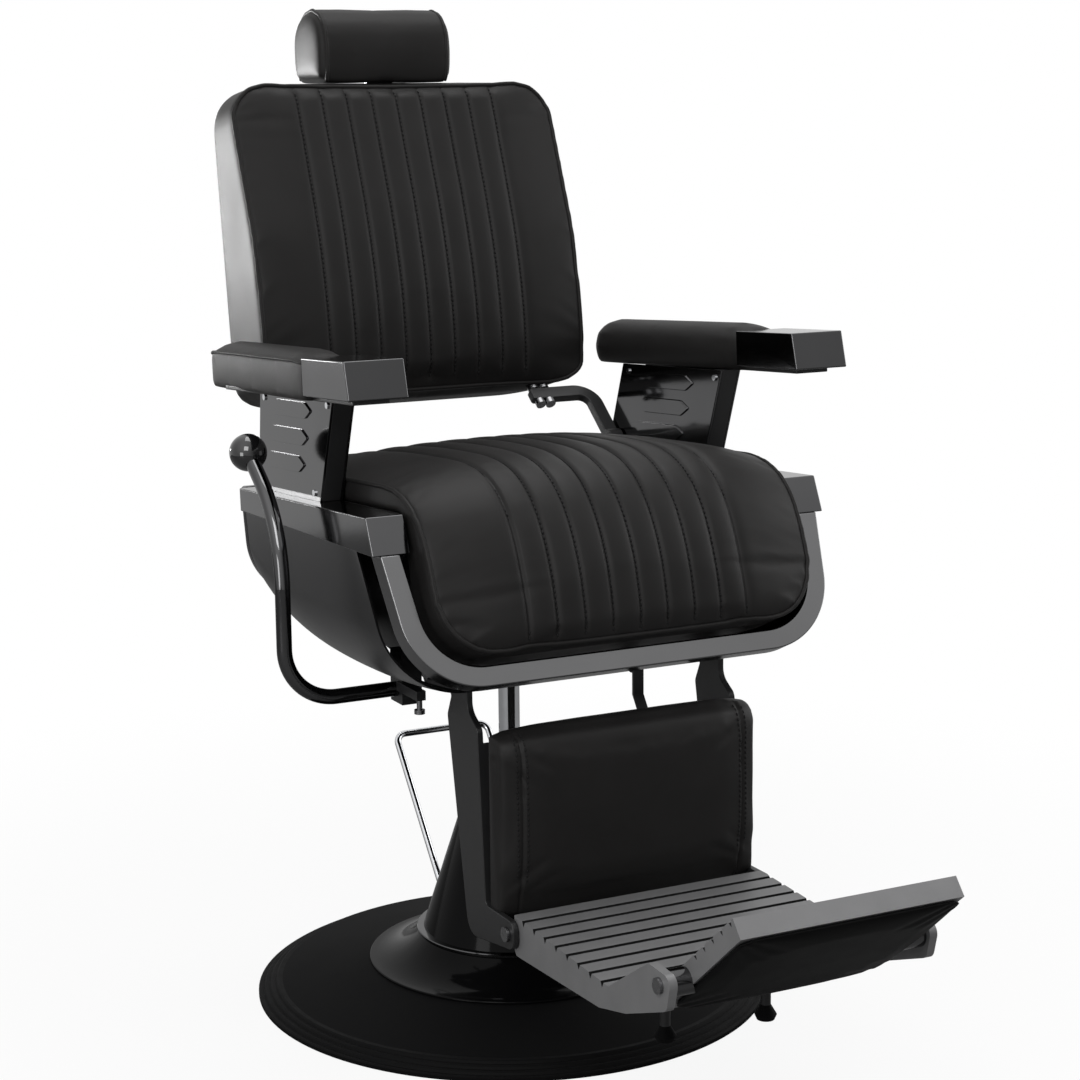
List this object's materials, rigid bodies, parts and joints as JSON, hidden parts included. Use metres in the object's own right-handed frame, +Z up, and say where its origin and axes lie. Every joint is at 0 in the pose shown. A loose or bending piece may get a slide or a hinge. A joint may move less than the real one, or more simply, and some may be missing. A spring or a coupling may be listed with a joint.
{
  "type": "barber chair",
  "caption": "Hydraulic swivelling barber chair with a channelled seat and reclining back, sliding headrest, linked leg rest, flip footplate, round base, pump pedal and side lever.",
  "frame": {"origin": "centre of the round base's underside on the floor, on the swivel and lift axis", "axes": "+Z up, the chair faces -Y, +X is the sitter's left, the recline lever is on the -X side"},
  "size_m": [0.7055, 1.2796, 1.2963],
  "materials": {
    "vinyl": "satin fine-grain black vinyl",
    "gloss_black": "gloss black enamel",
    "satin_black": "satin black paint",
    "cast_grey": "satin dark-grey casting",
    "chrome": "bright plated",
    "rim_rubber": "matte black rubber",
    "knob_plastic": "gloss black",
    "board": "bare plywood",
    "bearing": "machined bronze washer"
  },
  "bodies": {
    "base": {"base_plate": "satin_black", "base_rim": "rim_rubber", "base_cover": "gloss_black", "base_skirt": "gloss_black", "shroud_ring": "chrome", "pump_shroud": "gloss_black", "shroud_cap": "gloss_black", "pump_cylinder": "satin_black", "pump_bolts": "chrome"},
    "pedal": {"pump_pedal": "chrome"},
    "lift": {"pump_piston": "chrome", "swivel_washer": "bearing"},
    "seat": {"underframe": "satin_black", "seat_board": "board", "seat_cushion": "vinyl", "seat_shell": "gloss_black", "front_band": "gloss_black", "rear_panel": "gloss_black", "side_rail_left": "gloss_black", "side_rail_right": "gloss_black", "arm_post_left": "satin_black", "arm_post_right": "satin_black", "arm_cap_left": "gloss_black", "arm_cap_right": "gloss_black", "arm_pad_left": "vinyl", "arm_pad_right": "vinyl", "arm_outer_plate_left": "gloss_black", "arm_outer_plate_right": "gloss_black", "arm_inner_plate_left": "gloss_black", "arm_inner_plate_right": "gloss_black", "arm_screws": "chrome", "back_hinge_pins": "chrome", "lever_bracket": "satin_black", "lever_screw": "chrome"},
    "back": {"back_cushion": "vinyl", "back_board": "board", "back_cover": "vinyl", "back_bar_left": "satin_black", "back_bar_right": "satin_black", "back_shaft": "satin_black", "back_bolts": "chrome", "head_sleeve": "satin_black"},
    "head": {"head_post": "chrome", "head_pillow": "vinyl"},
    "leg": {"leg_shaft": "satin_black", "leg_bolts": "chrome", "leg_arm_left": "satin_black", "leg_arm_right": "satin_black", "leg_pad": "vinyl", "leg_pad_board": "board"},
    "link": {"recline_link": "satin_black"},
    "foot": {"foot_plate": "cast_grey", "foot_bolts": "chrome", "bumper_stems": "satin_black", "foot_bumpers": "rim_rubber", "flip_pins": "chrome"},
    "flip": {"flip_plate": "cast_grey", "flip_pad": "vinyl"},
    "lever": {"lever_rod": "gloss_black", "lever_knob": "knob_plastic"}
  },
  "joints": [
    {"name": "pedal_press", "type": "hinge", "parent": "base", "child": "pedal", "pos_m": [0, 0.046, 0.091], "axis": [-1, 0, 0], "range_deg": [0, 20], "stiffness_Nm_per_rad": 15, "springref_deg": -11.46},
    {"name": "lift", "type": "slide", "parent": "base", "child": "lift", "axis": [0, 0, 1], "range_m": [-0.1, 0.06]},
    {"name": "swivel", "type": "hinge", "parent": "lift", "child": "seat", "pos_m": [0, 0, 0.497], "axis": [0, 0, 1], "continuous": true},
    {"name": "recline", "type": "hinge", "parent": "seat", "child": "back", "pos_m": [0, 0.15524, 0.69955], "axis": [-1, 0, 0], "range_deg": [0, 45]},
    {"name": "leg_raise", "type": "hinge", "parent": "seat", "child": "leg", "pos_m": [0, -0.141, 0.48], "axis": [-1, 0, 0], "range_deg": [0, 15.1]},
    {"name": "link_turn", "type": "hinge", "parent": "back", "child": "link", "pos_m": [0.1405, 0.17341, 0.69119], "axis": [-1, 0, 0], "range_deg": [-45.1, 0]},
    {"name": "headrest_slide", "type": "slide", "parent": "back", "child": "head", "axis": [0, 0.1392, 0.9903], "range_m": [0, 0.1]},
    {"name": "foot_fold", "type": "hinge", "parent": "leg", "child": "foot", "pos_m": [0, -0.351, 0.208], "axis": [-1, 0, 0], "range_deg": [0, 45]},
    {"name": "flip_turn", "type": "hinge", "parent": "foot", "child": "flip", "pos_m": [0, -0.695, 0.261], "axis": [-1, 0, 0], "range_deg": [0, 140]},
    {"name": "lever_pull", "type": "hinge", "parent": "seat", "child": "lever", "pos_m": [-0.2, -0.079, 0.446], "axis": [-1, 0, 0], "range_deg": [0, 15], "stiffness_Nm_per_rad": 4, "springref_deg": -11.46}
  ],
  "couplings": [
    {"joint": "leg_raise", "follows": "recline", "ratio": 0.33333},
    {"joint": "link_turn", "follows": "recline", "ratio": -1}
  ]
}
